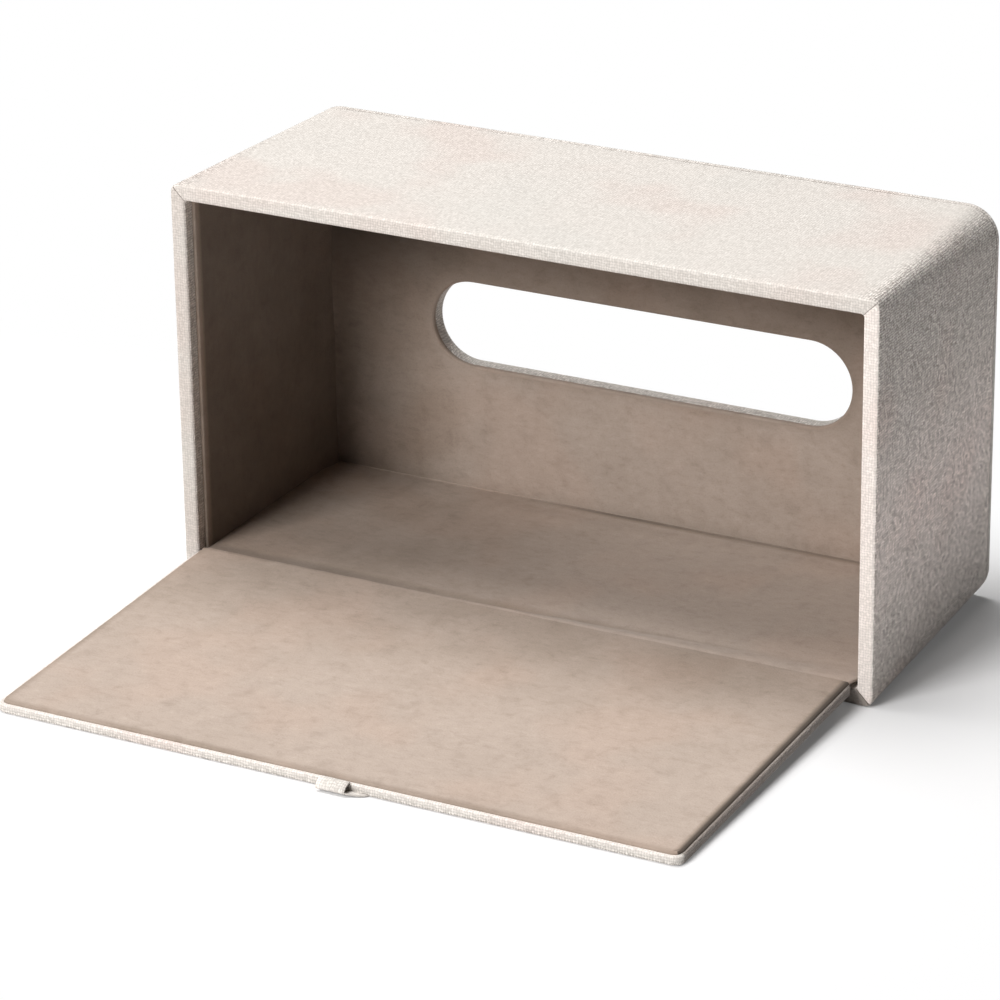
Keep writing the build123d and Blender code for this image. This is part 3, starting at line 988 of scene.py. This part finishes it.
def makeLoop():
    look = loopTape
    low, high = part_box("pull_loop")
    top, bottom = lipUp + 0.15 * mm, outerUp + 0.55 * mm
    turns = np.linspace(0, 1, 41)
    angle = math.pi * turns
    along = farEnd - 0.3 * mm + look["bulge"] * np.sin(angle) ** 0.8
    droop = look["droop"] * np.sin(angle) ** 2 * (1 - turns)
    up = (top + bottom) / 2 + (top - bottom) / 2 * np.cos(angle) - droop
    travel = lengthAlong(np.stack([along, up], 1))
    places = spaced(low.x, high.x, 0.5 * mm)[None, :]
    share = (places - low.x) / (high.x - low.x)
    lower = smooth((turns[:, None] - 0.45) / 0.5)
    x = places + look["skew"] * lower * (0.35 + 0.65 * share)
    out = along[:, None] - lower * (0.5 * mm * share + 0.2 * mm)
    points = onFlap(x, out, up[:, None])
    points[..., 1] += unevenness(points, 5 * mm, 51) * 0.12 * mm
    flat = np.stack(np.broadcast_arrays(places, travel[:, None]), -1)
    cloth = Cloth("tape_loop")
    # painted light on the left edge, painted shade at the right end
    worn = look["paleTone"] * smooth(1 - share / 0.25) + look["darkTone"] * fade(share, 0.9, 0.1)
    cloth.patch(points, flat, worn, coarse=0.2)
    piece = cloth.sew(look["thick"], linenMaterial)
    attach(piece, "flap")
    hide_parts("pull_loop")
    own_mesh(piece)


makeWrap()
makePanelCloth()
print("box cloth made")
tuck = wallLining["tuck"]
inner = halfLength - boardInner
makeWallLining("suede_left", "left", (-inner, 0, 0), (1, 0, 0), (floorZ - tuck, ceilingZ + tuck),
               wallLining["cornerSwell"])
makeWallLining("suede_right", "right", (inner, 0, 0), (-1, 0, 0), (floorZ - tuck, ceilingZ + tuck))
makeWallLining("suede_ceiling", "ceiling", (0, 0, boxHeight - boardInner), (0, 0, -1),
               (-sideX - tuck, sideX + tuck))
makeBackLining()
print("lining made")
makeBaseSuede()
makeFlapCloth()
makeLoop()
print("flap made")

for name, node in frame["nodes"].items():
    if name.endswith(("_board", "_card")):
        node.data.materials.clear()
        node.data.materials.append(boardMaterial)
    if name.endswith("_magnets"):
        node.data.materials.clear()
        node.data.materials.append(magnetMaterial)


paperLook = {
    "half": 3.0,
    "drop": 0.05 * mm,
    "white": (0.66, 0.655, 0.655, 1),
    "least": 0.1,                # share of plain white everywhere
    "apart": (0.165, 0.34),      # the shadow ends at this distance from the middle
    "behind": (0.05, 0.12),      # and behind the box
}


def makeFloor():
    look = paperLook
    half = look["half"]
    data = bpy.data.meshes.new("table")
    corners = [(-half, -half, 0), (half, -half, 0), (half, half, 0), (-half, half, 0)]
    data.from_pydata(corners, [], [(0, 1, 2, 3)])
    table = bpy.data.objects.new("table", data)
    table.location.z = -look["drop"]
    bpy.context.scene.collection.objects.link(table)
    paper = Finish("whitePaper")
    paper.surface(Base_Color=(0.86, 0.86, 0.86, 1), Roughness=0.9, Specular_IOR_Level=0.1)
    path = paper.node("ShaderNodeLightPath", output="Is Camera Ray")
    glossy = paper.node("ShaderNodeLightPath", output="Is Glossy Ray")
    seen = path.maths("MAXIMUM", glossy)
    white = paper.node("ShaderNodeBsdfDiffuse", {}, {"Color": look["white"]})
    glow = paper.node("ShaderNodeEmission", {}, {"Color": (1, 1, 1, 1), "Strength": 1.0})
    place = paper.node("ShaderNodeTexCoord", output="Object")
    apart = paper.node("ShaderNodeVectorMath", {"operation": "LENGTH"}, [place], output="Value")
    behind = paper.node("ShaderNodeSeparateXYZ", {}, [place], output="Y").between(*look["behind"])
    far = look["least"] + (1 - look["least"]) * apart.between(*look["apart"]).maths("MAXIMUM", behind)
    shown = paper.node("ShaderNodeMixShader", {}, [far, white, glow])
    base = Wire(paper, paper.shader.outputs[0])
    mixed = paper.node("ShaderNodeMixShader", {}, [seen, base, shown])
    paper.fill(paper.output.inputs["Surface"], mixed)
    data.materials.append(paper.material)


lamps = {
    "key": {"place": (-0.74, -2.02, 1.46), "size": 1.0, "power": 66.0},
    "top": {"place": (-0.50, 0.10, 2.40), "size": 1.3, "power": 68.0},
}
lampAim = (0, -0.03, 0.05)
ambient = 0.0                # the white round the box gives no light


def makeLamps():
    for name, look in lamps.items():
        lamp = bpy.data.lights.new(name, "AREA")
        lamp.shape = "SQUARE"
        lamp.size = look["size"]
        lamp.energy = look["power"]
        holder = bpy.data.objects.new(name, lamp)
        holder.location = look["place"]
        aim = Vector(lampAim) - holder.location
        holder.rotation_mode = "QUATERNION"
        holder.rotation_quaternion = aim.to_track_quat("-Z", "Y")
        bpy.context.scene.collection.objects.link(holder)
    world = bpy.data.worlds.new("studio")
    world.use_nodes = True
    bpy.context.scene.world = world
    sky = world.node_tree
    background = sky.nodes["Background"]
    path = sky.nodes.new("ShaderNodeLightPath")
    seen = sky.nodes.new("ShaderNodeMath")
    seen.operation = "MAXIMUM"
    sky.links.new(path.outputs["Is Camera Ray"], seen.inputs[0])
    sky.links.new(path.outputs["Is Glossy Ray"], seen.inputs[1])
    strength = sky.nodes.new("ShaderNodeMapRange")
    strength.inputs["To Min"].default_value = ambient
    strength.inputs["To Max"].default_value = 1.0
    sky.links.new(seen.outputs[0], strength.inputs["Value"])
    sky.links.new(strength.outputs[0], background.inputs["Strength"])
    background.inputs["Color"].default_value = (1, 1, 1, 1)


view = {
    "place": (0.6431, -1.2520, 0.6218),
    "turn": 28.295,              # degrees to the left of straight on
    "down": 22.822,
    "roll": -0.810,
    "lens": 167.33,              # on a 36 mm wide picture
}


def makeCamera():
    camera = bpy.data.cameras.new("camera")
    camera.sensor_width = 36.0
    camera.lens = view["lens"]
    camera.clip_start, camera.clip_end = 0.05, 20.0
    holder = bpy.data.objects.new("camera", camera)
    turn = Matrix.Rotation(math.radians(view["turn"]), 4, "Z")
    down = Matrix.Rotation(math.radians(90 - view["down"]), 4, "X")
    roll = Matrix.Rotation(math.radians(view["roll"]), 4, "Z")
    holder.matrix_world = Matrix.Translation(view["place"]) @ turn @ down @ roll
    bpy.context.scene.collection.objects.link(holder)
    bpy.context.scene.camera = holder


makeFloor()
makeLamps()
makeCamera()
bpy.context.scene.view_settings.view_transform = "Standard"
print("floor, lamps and camera made")
